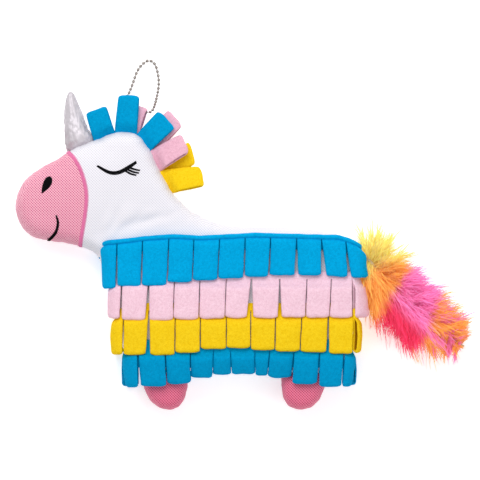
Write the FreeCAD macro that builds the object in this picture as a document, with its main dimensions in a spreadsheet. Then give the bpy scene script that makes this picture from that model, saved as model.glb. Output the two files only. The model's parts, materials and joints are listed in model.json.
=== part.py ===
"""A stuffed unicorn toy dressed as a pinata, lying flat on its back face.

Frame: +X runs from nose to tail, +Y from feet to crest, +Z up off the surface it lies on.
The origin is under the middle of the whole toy. Everything is in millimetres.
"""
import FreeCAD, Part
import Sketcher
import math
import os

from FreeCAD import Placement, Rotation, Vector

doc = FreeCAD.newDocument("unicorn_pinata")

# ---------------------------------------------------------------------------
# Driving dimensions
# ---------------------------------------------------------------------------

SIZES = {
    # stuffed body
    "half_depth": 17,         # mid-plane seam to the top of either face
    "edge_round": 12,         # how far in from the seam a face reaches its full depth
    "panel_thickness": 1,     # mesh cloth with its fusible backing
    "seam_gap": 0.02,         # so that stitching rests on the cloth and does not share its surface
    "filling_gap": 0.3,       # between the filling and the cloth round it
    "stitch_proud": 0.6,      # how far embroidery and edging stand off the cloth
    "edging_width": 2.6,
    # fleece
    "fleece": 1.2,            # thickness of one ply
    "loop_gap": 0.8,          # space inside a fringe loop that lies flat
    "mane_gap": 2,            # space inside a mane loop
    "chain_loop_gap": 4.2,    # space inside the mane loop that the ball chain runs through
    "clearance": 0.3,         # between one layer of fleece and the next
    "slit_width": 1.6,
    # feet
    "foot_half_depth": 12,
    "foot_round": 8,
    "foot_top": -106.8,       # where the feet are sewn to the belly seam
    # tail
    "twine_radius": 1.5,
    "binding_radius": 3,
    "binding_length": 3,
    # ball chain, standard 2.4 mm size
    "ball_radius": 1.2,
    "ball_pitch": 3.3,
    "link_radius": 0.3,
    "clasp_radius": 1.65,
    "clasp_bore": 1.32,
    "clasp_slot": 0.5,
    "clasp_length": 6.8,
    "clasp_room": 6.2,
}

# Fringe rows from the back down to the belly. The hinge line is where the loops start to lift, just
# below the loops of the row above. The ends are where the row meets the side seams, and the tilts are
# how steeply, in degrees, the end loops fall over the sides of the body.
ROWS = [
    {"header_top": 1, "hinge": -4, "hem": -34.5, "left": -109.7, "right": 97.7,
     "left_tilt": 12, "right_tilt": 25,
     "slits": (-97, -78, -56, -38, -18, 1.5, 21, 40.5, 61, 80)},
    {"header_top": -30, "hinge": -39.5, "hem": -64.6, "left": -104, "right": 98,
     "left_tilt": 35, "right_tilt": 25,
     "slits": (-93, -73, -52.5, -33, -13, 6.5, 28, 49, 68, 84.5)},
    {"header_top": -57, "hinge": -66.3, "hem": -90, "left": -101, "right": 92,
     "left_tilt": 35, "right_tilt": 35,
     "slits": (-91, -72, -52, -32, -12, 7, 25.5, 45.5, 65.5, 85)},
    {"header_top": -84, "hinge": -92.8, "hem": -112, "left": -95, "right": 88.7,
     "left_tilt": 35, "right_tilt": 35,
     "slits": (-80.5, -59, -40, -23, -7.5, 9.5, 20.5, 38.5, 59, 77.5)},
]
for number, row in enumerate(ROWS, 1):
    for key in ("header_top", "hinge", "hem", "left", "right", "left_tilt", "right_tilt"):
        SIZES[f"row_{number}_{key}"] = row[key]
    for place, x in enumerate(row["slits"]):
        SIZES[f"row_{number}_slit_{place}"] = x

# Mane loops: middle of the root, direction in degrees from +X, width, length, layer, gap.
MANE = {
    "mane_blue_1": (-107.3, 78.4, 107.6, 17.4, 21, "front", "mane_gap"),
    "mane_blue_2": (-90, 81.6, 85, 16.8, 27, "front", "mane_gap"),
    "mane_blue_3": (-73.6, 74.5, 45.5, 17.5, 23, "front", "mane_gap"),
    "mane_pink_front": (-65.1, 58.5, 31.6, 17, 25, "front", "mane_gap"),
    "mane_yellow_front": (-56, 41.6, 14, 17, 27, "front", "mane_gap"),
    "mane_pink_chain_loop": (-86.5, 81.9, 77, 17, 21.3, "back", "chain_loop_gap"),
    "mane_pink_back": (-71.9, 73.5, 38.4, 16.8, 28, "back", "mane_gap"),
    "mane_yellow_back": (-62, 53, 13.6, 17, 25, "back", "mane_gap"),
}
for name, (x, y, angle, width, length, layer, gap) in MANE.items():
    SIZES[f"{name}_x"] = x
    SIZES[f"{name}_y"] = y
    SIZES[f"{name}_angle"] = angle
    SIZES[f"{name}_width"] = width
    SIZES[f"{name}_length"] = length

sheet = doc.addObject("Spreadsheet::Sheet", "Sizes")
for cell_row, (alias, value) in enumerate(SIZES.items(), 1):
    sheet.set(f"A{cell_row}", alias)
    sheet.set(f"B{cell_row}", str(value))
    sheet.setAlias(f"B{cell_row}", alias)
doc.recompute()


def size(alias):
    """A driving dimension, read back from the sheet."""
    return float(getattr(sheet, alias))


# Heights that follow from the driving dimensions, as expressions and as numbers.
HEADER_DEPTH = "(2 * Sizes.fleece)"
LOOP_DEPTH = "(2 * Sizes.fleece + Sizes.loop_gap)"
STACK = f"(2 * Sizes.clearance + {HEADER_DEPTH} + {LOOP_DEPTH})"
MIDDLE = f"({STACK} + Sizes.half_depth)"
FACE_TOP = f"({MIDDLE} + Sizes.half_depth)"
HEADER_Z = f"({FACE_TOP} + Sizes.clearance)"
LOOP_Z = f"({HEADER_Z} + {HEADER_DEPTH} + Sizes.clearance)"

loop_depth = 2 * size("fleece") + size("loop_gap")
middle = 2 * size("clearance") + 2 * size("fleece") + loop_depth + size("half_depth")

# Rotation that lays a profile drawn in X and Y along the toy's -Y, standing up in Z.
HANGING = Rotation(Vector(0, -1, 0), Vector(0, 0, 1), Vector(-1, 0, 0), "XYZ")


# ---------------------------------------------------------------------------
# Helpers
# ---------------------------------------------------------------------------

def bind(obj, **expressions):
    """Bind properties to expressions; a double underscore stands for a dot."""
    for path, expression in expressions.items():
        obj.setExpression(path.replace("__", "."), expression)
    return obj


def cut(name, base, tool):
    result = doc.addObject("Part::Cut", name)
    result.Base = base
    result.Tool = tool
    return result


def common(name, base, tool):
    result = doc.addObject("Part::Common", name)
    result.Base = base
    result.Tool = tool
    return result


def gather(name, parts, kind="Part::Compound"):
    result = doc.addObject(kind, name)
    if kind == "Part::Compound":
        result.Links = parts
    else:
        result.Shapes = parts
    return result


def mirror_to_back(name, source):
    """The same piece on the other side of the mid-plane seam."""
    result = doc.addObject("Part::Mirroring", name)
    result.Source = source
    result.Normal = Vector(0, 0, 1)
    return bind(result, Base__z=MIDDLE)


def raise_face(name, face, height):
    """A prism from just under the mid-plane up through the front face, over a flat outline."""
    flat = doc.addObject("Part::Feature", name + "_outline")
    flat.Shape = face
    bind(flat, Placement__Base__z=f"{MIDDLE} - 2")
    prism = doc.addObject("Part::Extrusion", name + "_prism")
    prism.Base = flat
    prism.DirMode = "Custom"
    prism.Dir = Vector(0, 0, 1)
    prism.Solid = True
    return bind(prism, LengthFwd=height)


def spline(points, closed=False):
    curve = Part.BSplineCurve()
    curve.interpolate(points, PeriodicFlag=closed)
    return curve


def inset(points, distance):
    """A closed outline, listed clockwise, with every point moved inwards."""
    moved = []
    for i, point in enumerate(points):
        along = points[(i + 1) % len(points)] - points[i - 1]
        inwards = Vector(along.y, -along.x, 0).normalize()
        moved.append(point + inwards * distance)
    return moved


def pillow(outline, half_depth, edge_round, shrink):
    """The upper half of a stuffed shape, over its mid-plane seam, in small flat facets.

    Its sides curve in like a quarter ellipse from the seam to the flat top. A shrunk one, which
    stands for the room inside, starts a little under the seam so that it cuts right through.
    """
    points = [Vector(x, y, 0) for x, y in outline]
    depth = half_depth - shrink
    curl = edge_round - shrink
    rings = []
    for angle in (0, 25, 48, 70, 90):
        turn = math.radians(angle)
        lift = Vector(0, 0, depth * math.sin(turn))
        rings.append([p + lift for p in inset(points, shrink + curl * (1 - math.cos(turn)))])
    if shrink > 0:
        rings.insert(0, [p - Vector(0, 0, 1) for p in rings[0]])
    faces = [Part.Face(Part.makePolygon(ring + ring[:1])) for ring in (rings[0], rings[-1])]
    for low, high in zip(rings, rings[1:]):
        for i in range(len(points)):
            j = (i + 1) % len(points)
            faces.append(Part.Face(Part.makePolygon([low[i], low[j], high[j], low[i]])))
            faces.append(Part.Face(Part.makePolygon([low[i], high[j], high[i], low[i]])))
    return Part.Solid(Part.makeShell(faces))


def stroke(points, half_widths):
    """A flat stroke of varying width along a curve through the points."""
    route = [Vector(x, y, 0) for x, y in points]
    curve = spline(route)
    left, right = [], []
    for point, half in zip(route, half_widths):
        along = curve.tangent(curve.parameter(point))[0]
        across = Vector(-along.y, along.x, 0).normalize() * half
        left.append(point + across)
        right.append(point - across)
    right.reverse()
    edges = [spline(left).toShape(), Part.makeLine(left[-1], right[0]),
             spline(right).toShape(), Part.makeLine(right[-1], left[0])]
    return Part.Face(Part.Wire(edges))


def hairpin(sketch, length, gap):
    """A folded strip of fleece seen from the side: two plies joined by a round fold.

    The strip starts on the sketch's Y axis and the fold is at the far end of its X axis.
    """
    ply = size("fleece")
    space = size(gap)
    depth = 2 * ply + space
    straight = length - depth / 2
    fold = Vector(straight, depth / 2, 0)
    up, down = math.pi / 2, -math.pi / 2
    axis = Vector(0, 0, 1)
    sketch.addGeometry([
        Part.LineSegment(Vector(0, 0, 0), Vector(straight, 0, 0)),
        Part.ArcOfCircle(Part.Circle(fold, axis, depth / 2), down, up),
        Part.LineSegment(Vector(straight, depth, 0), Vector(0, depth, 0)),
        Part.LineSegment(Vector(0, depth, 0), Vector(0, depth - ply, 0)),
        Part.LineSegment(Vector(0, depth - ply, 0), Vector(straight, depth - ply, 0)),
        Part.ArcOfCircle(Part.Circle(fold, axis, space / 2), down, up),
        Part.LineSegment(Vector(straight, ply, 0), Vector(0, ply, 0)),
        Part.LineSegment(Vector(0, ply, 0), Vector(0, 0, 0)),
    ], False)
    joins = [(0, 2, 1, 1), (1, 2, 2, 1), (2, 2, 3, 1), (3, 2, 4, 1),
             (4, 2, 5, 2), (5, 1, 6, 1), (6, 2, 7, 1), (7, 2, 0, 1), (1, 3, 5, 3)]
    for join in joins:
        sketch.addConstraint(Sketcher.Constraint("Coincident", *join))
    sketch.addConstraint(Sketcher.Constraint("Coincident", 0, 1, -1, 1))
    for line in (0, 2, 4, 6):
        sketch.addConstraint(Sketcher.Constraint("Horizontal", line))
    for line in (3, 7):
        sketch.addConstraint(Sketcher.Constraint("Vertical", line))
    for upright in ((0, 2, 1, 3), (1, 3, 2, 1), (5, 3, 4, 2), (5, 3, 6, 1), (0, 1, 2, 2)):
        sketch.addConstraint(Sketcher.Constraint("Vertical", *upright))
    ply_place = sketch.addConstraint(Sketcher.Constraint("DistanceY", 0, 1, 6, 2, ply))
    depth_place = sketch.addConstraint(Sketcher.Constraint("DistanceY", 0, 1, 2, 2, depth))
    length_place = sketch.addConstraint(Sketcher.Constraint("DistanceX", 0, 1, 0, 2, straight))
    sketch.setExpression(f"Constraints[{ply_place}]", "Sizes.fleece")
    sketch.setExpression(f"Constraints[{depth_place}]", f"2 * Sizes.fleece + Sizes.{gap}")
    return length_place


def box(name, label=None):
    solid = doc.addObject("Part::Box", name)
    if label:
        solid.Label = label
    return solid


# ---------------------------------------------------------------------------
# Body and head: two face panels sewn round the mid-plane seam, around a filling
# ---------------------------------------------------------------------------

BODY_OUTLINE = [
    (-118, 72.6), (-107, 76.8), (-99, 80.2), (-91.5, 80.7), (-84, 80), (-77.5, 75.5), (-70.9, 65.5),
    (-63.2, 48.9), (-53.7, 32), (-40.8, 19.6), (-26, 11.5), (-10, 7.2), (13.6, 6.6), (36, 6),
    (55, 4.8), (75, 1), (85.5, -6), (90, -20), (89.8, -40), (88.2, -60), (85.8, -80), (81.5, -96),
    (70, -104.6), (50, -105.6), (15, -105.2), (-20, -105.2), (-55, -105.6), (-76, -104.6),
    (-88.5, -97.5), (-94.5, -84), (-99, -65), (-103.6, -45), (-107.4, -28), (-112.5, -15),
    (-125, -9.2), (-138.6, -6.6), (-151, -5), (-162.5, -2.4), (-171, 4.6), (-176, 15),
    (-176.8, 26), (-173, 37.5), (-165.4, 46.3), (-156, 53), (-145.5, 58), (-136, 64.4), (-127.5, 69.4),
]

# The line where the pink muzzle cloth meets the white cloth, run out past both edges of the head.
MUZZLE_SEAM = [
    (-142, 71), (-136, 64.7), (-129.8, 58.6), (-124.5, 48.7), (-121, 36), (-120.5, 26),
    (-121.8, 14), (-124.2, 0), (-126, -9.5), (-127.5, -18),
]


def pillow_half(name, shrink):
    """The front half of the stuffed body, from its mid-plane seam to its flat top."""
    half = doc.addObject("Part::Feature", name)
    half.Shape = pillow(BODY_OUTLINE, size("half_depth"), size("edge_round"), shrink)
    return bind(half, Placement__Base__z=MIDDLE)


def muzzle_region():
    """Everything on the nose side of the muzzle seam."""
    seam = spline([Vector(x, y, 0) for x, y in MUZZLE_SEAM])
    start = Vector(*MUZZLE_SEAM[0], 0)
    end = Vector(*MUZZLE_SEAM[-1], 0)
    nose_low = Vector(-190, end.y, 0)
    nose_high = Vector(-190, start.y, 0)
    edges = [seam.toShape(), Part.makeLine(end, nose_low),
             Part.makeLine(nose_low, nose_high), Part.makeLine(nose_high, start)]
    return Part.Face(Part.Wire(edges))


ABOVE_FACE = "(Sizes.half_depth + 5)"
front_outside = pillow_half("front_outside", 0)
front_inside = pillow_half("front_inside", size("panel_thickness"))
muzzle_prism = raise_face("muzzle", muzzle_region(), ABOVE_FACE)
front_face_panel = cut("front_face_panel", cut("white_part", front_outside, muzzle_prism), front_inside)
muzzle_front_panel = cut("muzzle_front_panel", common("pink_part", front_outside, muzzle_prism), front_inside)
back_face_panel = mirror_to_back("back_face_panel", front_face_panel)
muzzle_back_panel = mirror_to_back("muzzle_back_panel", muzzle_front_panel)

fibre_half = pillow_half("fibre_half", size("panel_thickness") + size("filling_gap"))
fibre_other_half = mirror_to_back("fibre_other_half", fibre_half)
body_filling = gather("body_filling", [fibre_half, fibre_other_half], "Part::MultiFuse")

# Stitching stands on the cloth: a thin layer over the front face, cut to each stitched shape.
stitch_outside = pillow_half("stitch_outside", -size("seam_gap") - size("stitch_proud"))
stitch_inside = pillow_half("stitch_inside", -size("seam_gap"))
stitch_layer = cut("stitch_layer", stitch_outside, stitch_inside)

EYE_LINE = [(-111.8, 53.2), (-104.6, 49), (-99.6, 47.7), (-94, 48.6), (-87, 52.6), (-81.9, 56.1)]
EYE_HALF_WIDTHS = (0.5, 0.9, 1.1, 1.2, 1.1, 0.8)
LASHES = [
    [(-87.6, 52), (-83, 50.5), (-79.2, 49.7)],
    [(-89.2, 50.8), (-84.5, 48.7), (-80, 47.7)],
    [(-91, 49.8), (-86.3, 47.2), (-82, 46)],
]
LASH_HALF_WIDTHS = (0.55, 0.5, 0.4)
MOUTH_LINE = [(-143.5, 15), (-142.2, 9.3), (-143.5, 3.1), (-146, -0.6)]
MOUTH_HALF_WIDTHS = (0.6, 0.8, 0.8, 0.5)
NOSTRIL_OUTLINE = [(-154.3, 32.1), (-154.9, 37.8), (-152.2, 43), (-148.2, 45.5), (-146.5, 43), (-149.2, 37)]


def embroidery(name, faces):
    """One stitched shape on the front face and its twin on the back face."""
    prisms = [raise_face(f"{name}_{i}", face, ABOVE_FACE) for i, face in enumerate(faces)]
    tool = prisms[0] if len(prisms) == 1 else gather(name + "_shape", prisms, "Part::MultiFuse")
    front = common(name + "_front", stitch_layer, tool)
    back = mirror_to_back(name + "_back", front)
    return [front, back]


nostril_wire = Part.Wire(spline([Vector(x, y, 0) for x, y in NOSTRIL_OUTLINE], True).toShape())
half_edging = size("edging_width") / 2
stitching = embroidery("closed_eye", [stroke(EYE_LINE, EYE_HALF_WIDTHS)]
                       + [stroke(lash, LASH_HALF_WIDTHS) for lash in LASHES])
stitching += embroidery("nostril", [Part.Face(nostril_wire)])
stitching += embroidery("mouth", [stroke(MOUTH_LINE, MOUTH_HALF_WIDTHS)])
stitching += embroidery("muzzle_edging", [stroke(MUZZLE_SEAM, [half_edging] * len(MUZZLE_SEAM))])

# ---------------------------------------------------------------------------
# Horn: a stuffed cone of silver cloth, flattened where it meets the crest seam
# ---------------------------------------------------------------------------

# Centre, half width, half depth and tilt in degrees of each section, from base to tip.
HORN_SECTIONS = [
    (-126, 71.6, 10.4, 7.5, 19), (-128.4, 80, 9, 6.8, 12), (-130.4, 90, 7.2, 5.6, 8),
    (-132.2, 101, 5, 4.2, 5), (-132.8, 107, 3.4, 3, 3), (-133, 110.2, 1.6, 1.4, 0),
]


def horn_loft(name, shrink):
    sections = []
    for i, (x, y, half_width, half_thick, tilt) in enumerate(HORN_SECTIONS):
        ring = doc.addObject("Part::Ellipse", f"{name}_section_{i}")
        ring.MajorRadius = half_width - shrink
        ring.MinorRadius = half_thick - shrink
        ring.Placement = Placement(Vector(x, y, middle),
                                   Rotation(Vector(0, 0, 1), tilt) * Rotation(Vector(1, 0, 0), 90))
        bind(ring, Placement__Base__z=MIDDLE)
        sections.append(ring)
    loft = doc.addObject("Part::Loft", name)
    loft.Sections = sections
    loft.Solid = True
    return loft


horn_outside = horn_loft("horn_outside", 0)
horn_inside = horn_loft("horn_inside", 0.8)
horn_cover = cut("horn_cover", horn_outside, horn_inside)
horn_filling = horn_loft("horn_filling", 0.85)

# ---------------------------------------------------------------------------
# Feet: stuffed pockets of pink mesh sewn to the belly seam
# ---------------------------------------------------------------------------

# Clockwise outlines, run up behind the belly seam, where they are trimmed.
FRONT_FOOT = [
    (-41.4, -96), (-41.8, -108), (-42.6, -118), (-45, -126.5), (-49.5, -133), (-56, -136.4),
    (-64, -134.8), (-71.5, -128), (-76.5, -118), (-78.5, -108), (-79, -96), (-60, -90),
]
HIND_FOOT = [
    (65, -96), (65, -108), (63.6, -118), (59.5, -127.5), (53, -134.2), (45, -136.4),
    (37.5, -133.8), (32.5, -127.5), (30.2, -118), (29.6, -108), (29.4, -96), (47, -90),
]


def foot(name, outline):
    """A foot's front and back panels, open where they are sewn to the body, and its filling."""
    depth = size("foot_half_depth")
    curl = size("foot_round")
    cloth = size("panel_thickness")
    halves = []
    for suffix, shrink in (("outside", 0), ("inside", cloth), ("fibre", cloth + size("filling_gap"))):
        half = doc.addObject("Part::Feature", f"{name}_{suffix}")
        half.Shape = pillow(outline, depth, curl, shrink)
        bind(half, Placement__Base__z=MIDDLE)
        halves.append(half)
    trim = box(name + "_trim")
    trim.Length = 120
    trim.Width = 40
    trim.Height = 60
    trim.Placement = Placement(Vector(outline[0][0] - 80, size("foot_top"), 0), Rotation())
    bind(trim, Placement__Base__y="Sizes.foot_top")
    front = cut(name + "_front_panel", cut(name + "_pocket", halves[0], halves[1]), trim)
    back = mirror_to_back(name + "_back_panel", front)
    fibre = gather(name + "_fibre_whole", [halves[2], mirror_to_back(name + "_fibre_back", halves[2])],
                   "Part::MultiFuse")
    return [front, back, cut(name + "_filling", fibre, trim)]


feet = foot("front_foot", FRONT_FOOT) + foot("hind_foot", HIND_FOOT)

# ---------------------------------------------------------------------------
# Mane: hairpin loops of fleece caught in the crest seam, in two layers
# ---------------------------------------------------------------------------


def mane_loop(name, length, layer, gap):
    body = doc.addObject("PartDesign::Body", name)
    upright = [f for f in body.Origin.OriginFeatures if f.Role == "XZ_Plane"][0]
    sketch = body.newObject("Sketcher::SketchObject", name + "_side")
    sketch.AttachmentSupport = [(upright, "")]
    sketch.MapMode = "FlatFace"
    length_place = hairpin(sketch, length, gap)
    half_depth = f"(Sizes.fleece + Sizes.{gap} / 2)"
    sketch.setExpression(f"Constraints[{length_place}]", f"Sizes.{name}_length - {half_depth}")
    pad = body.newObject("PartDesign::Pad", name + "_width")
    pad.Profile = sketch
    pad.SideType = "Symmetric"
    bind(pad, Length=f"Sizes.{name}_width")
    body.Tip = pad
    bind(body, Placement__Base__x=f"Sizes.{name}_x", Placement__Base__y=f"Sizes.{name}_y",
         Placement__Rotation__Angle=f"Sizes.{name}_angle")
    if layer == "front":
        bind(body, Placement__Base__z=f"{MIDDLE} + Sizes.clearance")
    else:
        bind(body, Placement__Base__z=f"{MIDDLE} - Sizes.clearance - 2 * {half_depth}")
    return body


mane = [mane_loop(name, values[4], values[5], values[6]) for name, values in MANE.items()]

# ---------------------------------------------------------------------------
# Fringe rows: a folded fleece band whose fold is slit into loops
# ---------------------------------------------------------------------------


def band(name, key, start, end, side=None):
    """A folded band from one X to another, hanging from its row's hinge line down to its hem.

    One on the left or right side also falls over the side of the body.
    """
    root, hem = key + "_hinge", key + "_hem"
    profile = doc.addObject("Sketcher::SketchObject", name + "_profile")
    length_place = hairpin(profile, size(root) - size("clearance") - size(hem), "loop_gap")
    fold = f"{LOOP_DEPTH} / 2"
    profile.setExpression(f"Constraints[{length_place}]",
                          f"Sizes.{root} - Sizes.clearance - Sizes.{hem} - {fold}")
    profile.Placement = Placement(Vector(), HANGING)
    bind(profile, Placement__Base__x=start, Placement__Base__y=f"Sizes.{root} - Sizes.clearance",
         Placement__Base__z=LOOP_Z)
    solid = doc.addObject("Part::Extrusion", name)
    solid.Base = profile
    solid.DirMode = "Custom"
    solid.Dir = Vector(1, 0, 0)
    solid.Solid = True
    bind(solid, LengthFwd=f"abs({end} - {start})")
    if side is not None:
        outwards = 1 if side == "right" else -1
        tilt = size(f"{key}_{side}_tilt")
        slope = math.radians(tilt)
        profile.Placement = Placement(Vector(), Rotation(Vector(0, 1, 0), outwards * tilt) * HANGING)
        solid.Dir = Vector(outwards * math.cos(slope), 0, -math.sin(slope))
        bind(solid, LengthFwd=f"abs({end} - {start}) / cos(Sizes.{key}_{side}_tilt * 1 deg)")
    return solid


def fringe_row(number):
    """Header, nine free loops and two end loops on the front face, and the same row on the back face."""
    key = f"row_{number}"
    cell = f"Sizes.{key}"
    last = len(ROWS[number - 1]["slits"]) - 1
    name = f"front_{key}"

    whole = band(name + "_band", key, f"{cell}_slit_0", f"{cell}_slit_{last}")
    slits = []
    for place in range(last + 1):
        slit = box(f"{name}_slit_{place}")
        bind(slit, Length="Sizes.slit_width", Width=f"{cell}_hinge - {cell}_hem + 4",
             Height=f"{LOOP_DEPTH} + 2",
             Placement__Base__x=f"{cell}_slit_{place} - Sizes.slit_width / 2",
             Placement__Base__y=f"{cell}_hem - 2", Placement__Base__z=f"{LOOP_Z} - 1")
        slits.append(slit)
    loops = cut(name + "_loops", whole, gather(name + "_slits", slits))

    # A header stops short of the end loops of its own row and of the row that lies over it.
    above = max(number - 1, 1)
    header_end = f"min({cell}_slit_{last}; Sizes.row_{above}_slit_{last})"
    header = box(name + "_header")
    bind(header, Length=f"{header_end} - {cell}_slit_0",
         Width=f"{cell}_header_top - {cell}_hinge - Sizes.clearance", Height=HEADER_DEPTH,
         Placement__Base__x=f"{cell}_slit_0", Placement__Base__y=f"{cell}_hinge + Sizes.clearance",
         Placement__Base__z=HEADER_Z)

    half_slit = "Sizes.slit_width / 2"
    left = band(name + "_left_loop", key, f"{cell}_slit_0 - {half_slit}", f"{cell}_left", "left")
    right = band(name + "_right_loop", key, f"{cell}_slit_{last} + {half_slit}", f"{cell}_right", "right")
    ends = gather(name + "_end_loops", [left, right])

    everything = gather(name + "_all", [header, loops, ends])
    return [header, loops, ends, mirror_to_back(f"back_{key}", everything)]


fringe = []
for number in range(1, len(ROWS) + 1):
    fringe += fringe_row(number)

# ---------------------------------------------------------------------------
# Tail: three lengths of feather boa on a twine that is tied into the rump seam
# ---------------------------------------------------------------------------

TAIL_ROOT = Vector(94.5, -15.9, 0)
TAIL_BEND = Vector(115, -38.6, 0)
TAIL_END_BEND = Vector(139.5, -62.5, 0)
TAIL_TIP = Vector(171.5, -87.2, 0)

# Sections of each plume: distance along the twine, half width and half depth.
PLUMES = {
    "root": (TAIL_ROOT, TAIL_BEND, [(0.6, 2.4, 2.4), (7, 5, 5), (18, 17, 14), (30, 3.5, 3.5)]),
    "middle": (TAIL_BEND, TAIL_END_BEND, [(0.6, 3, 3), (12, 25, 21), (22, 25, 20), (33.6, 3.5, 3.5)]),
    "tip": (TAIL_END_BEND, TAIL_TIP, [(0.6, 3, 3), (10, 19, 16), (26, 17, 14), (39.5, 9, 9)]),
}


def turned_to(direction):
    """The rotation that turns +Z to a level direction and keeps +Y pointing up."""
    along = Vector(direction).normalize()
    up = Vector(0, 0, 1)
    return Rotation(up.cross(along), up, along, "ZYX")


def twine(name, start, length, direction, radius):
    rod = doc.addObject("Part::Cylinder", name)
    rod.Height = length
    rod.Placement = Placement(Vector(start.x, start.y, middle), turned_to(direction))
    return bind(rod, Radius=radius, Placement__Base__z=MIDDLE)


def tail_section(part, start, end, sections):
    along = (end - start).normalize()
    gap = size("clearance")
    cord = twine(f"tail_twine_{part}", start + along * gap, (end - start).Length - 2 * gap, along,
                 "Sizes.twine_radius")
    rings = []
    for i, (distance, half_width, half_thick) in enumerate(sections):
        ring = doc.addObject("Part::Ellipse", f"plume_{part}_section_{i}")
        ring.MajorRadius = half_width
        ring.MinorRadius = half_thick
        place = start + along * distance
        ring.Placement = Placement(Vector(place.x, place.y, middle), turned_to(along))
        bind(ring, Placement__Base__z=MIDDLE)
        rings.append(ring)
    fluff = doc.addObject("Part::Loft", f"plume_{part}_whole")
    fluff.Sections = rings
    fluff.Solid = True
    fluff.Ruled = True
    return [cord, cut(f"tail_plume_{part}", fluff, cord)]


tail = []
for part, (start, end, sections) in PLUMES.items():
    tail += tail_section(part, start, end, sections)
root_along = (TAIL_BEND - TAIL_ROOT).normalize()
tail_binding = twine("tail_binding", TAIL_ROOT - root_along * (size("binding_length") + size("clearance")),
                     size("binding_length"), root_along, "Sizes.binding_radius")
bind(tail_binding, Height="Sizes.binding_length")
tail.append(tail_binding)

# ---------------------------------------------------------------------------
# Ball chain: a closed loop of balls and wire links through the pink mane loop
# ---------------------------------------------------------------------------

# The way the chain lies, from its clasp round and back: through the mane loop, down to the surface,
# out and round, and back up under the blue loop.
CHAIN_ROUTE = [
    (-82.8, 97, 19.6), (-78.9, 96.1, 19.6), (-75, 95.2, 19.5), (-71.3, 95.6, 18.2), (-68.9, 98.9, 14.8),
    (-67.6, 103.6, 9.6), (-66.5, 109, 4.6), (-65.5, 115.5, 1.6), (-65.4, 121.5, 1.2), (-66.6, 128.5, 1.2),
    (-69.4, 134.6, 1.2), (-73, 136.2, 1.2), (-77, 134.2, 1.2), (-81.6, 128.8, 1.2), (-84.4, 121.9, 1.2),
    (-86.4, 116, 1.7), (-88.9, 110, 4.6), (-92, 105, 9.4), (-94.6, 102.1, 14.6), (-93.4, 99.6, 18.6),
    (-90, 98.7, 19.6), (-86.6, 97.9, 19.6),
]


def chain_places():
    """Evenly spaced places along the closed chain, half a pitch either side of the clasp first."""
    route = spline([Vector(*p) for p in CHAIN_ROUTE], True)
    count = round(route.length() / size("ball_pitch"))
    pitch = route.length() / count
    places = []
    for i in range(count):
        distance = (i + 0.5) * pitch
        places.append(route.value(route.parameterAtDistance(distance, route.FirstParameter)))
    print(f"chain: {count} balls, pitch {pitch:.3f}, length {route.length():.1f}")
    return places


def chain():
    places = chain_places()
    balls, links = [], []
    for i, place in enumerate(places):
        ball = doc.addObject("Part::Sphere", f"ball_{i}")
        ball.Placement = Placement(place, Rotation())
        balls.append(bind(ball, Radius="Sizes.ball_radius"))
    # The first and last balls sit in the clasp, so no wire joins them.
    surface = size("ball_radius") + size("seam_gap")
    for i in range(len(places) - 1):
        step = places[i + 1] - places[i]
        along = Vector(step).normalize()
        link = doc.addObject("Part::Cylinder", f"link_{i}")
        link.Height = step.Length - 2 * surface
        link.Placement = Placement(places[i] + along * surface, Rotation(Vector(0, 0, 1), along))
        links.append(bind(link, Radius="Sizes.link_radius"))

    along = (places[0] - places[-1]).normalize()
    centre = (places[0] + places[-1]) * 0.5
    rods = []
    for part, radius, length in (("shell", "clasp_radius", "clasp_length"),
                                 ("room", "clasp_bore", "clasp_room"), ("slot", "clasp_slot", "clasp_length")):
        rod = doc.addObject("Part::Cylinder", "clasp_" + part)
        rod.Placement = Placement(centre - along * (size(length) / 2), Rotation(Vector(0, 0, 1), along))
        rods.append(bind(rod, Radius=f"Sizes.{radius}", Height=f"Sizes.{length}"))
    hollow = gather("clasp_hollow", rods[1:], "Part::MultiFuse")
    return [gather("chain_balls", balls), gather("chain_links", links), cut("chain_clasp", rods[0], hollow)]


chain_parts = chain()

# ---------------------------------------------------------------------------
# Check every object, then write one file for each sub-part
# ---------------------------------------------------------------------------

doc.recompute()

SUB_PARTS = [front_face_panel, back_face_panel, body_filling, muzzle_front_panel, muzzle_back_panel]
SUB_PARTS += stitching + [horn_cover, horn_filling] + feet + mane + fringe + tail + chain_parts

for obj in doc.Objects:
    if "Invalid" in obj.State or "Error" in obj.State:
        raise RuntimeError(f"{obj.Name} failed: {obj.State}")

os.makedirs("parts", exist_ok=True)
for part in SUB_PARTS:
    if part.Shape.isNull() or not part.Shape.isValid() or part.Shape.Volume <= 0:
        raise RuntimeError(f"{part.Label} has no valid solid")
for part in SUB_PARTS:
    part.Shape.exportStep(f"parts/{part.Label}.step")
print(f"wrote {len(SUB_PARTS)} sub-parts")
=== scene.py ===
"""The looks of the stuffed unicorn pinata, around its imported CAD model.

Shapes are worked out in millimetres in the CAD frame and scaled to metres when a mesh is made.
+X runs from nose to tail, +Y from feet to crest and +Z up off the surface the toy lies on.
"""

import json
import random
from math import cos, exp, pi, radians, sin

import bmesh
import bpy
import numpy as np
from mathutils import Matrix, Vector, noise
from mathutils.bvhtree import BVHTree
from mathutils.kdtree import KDTree

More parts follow.
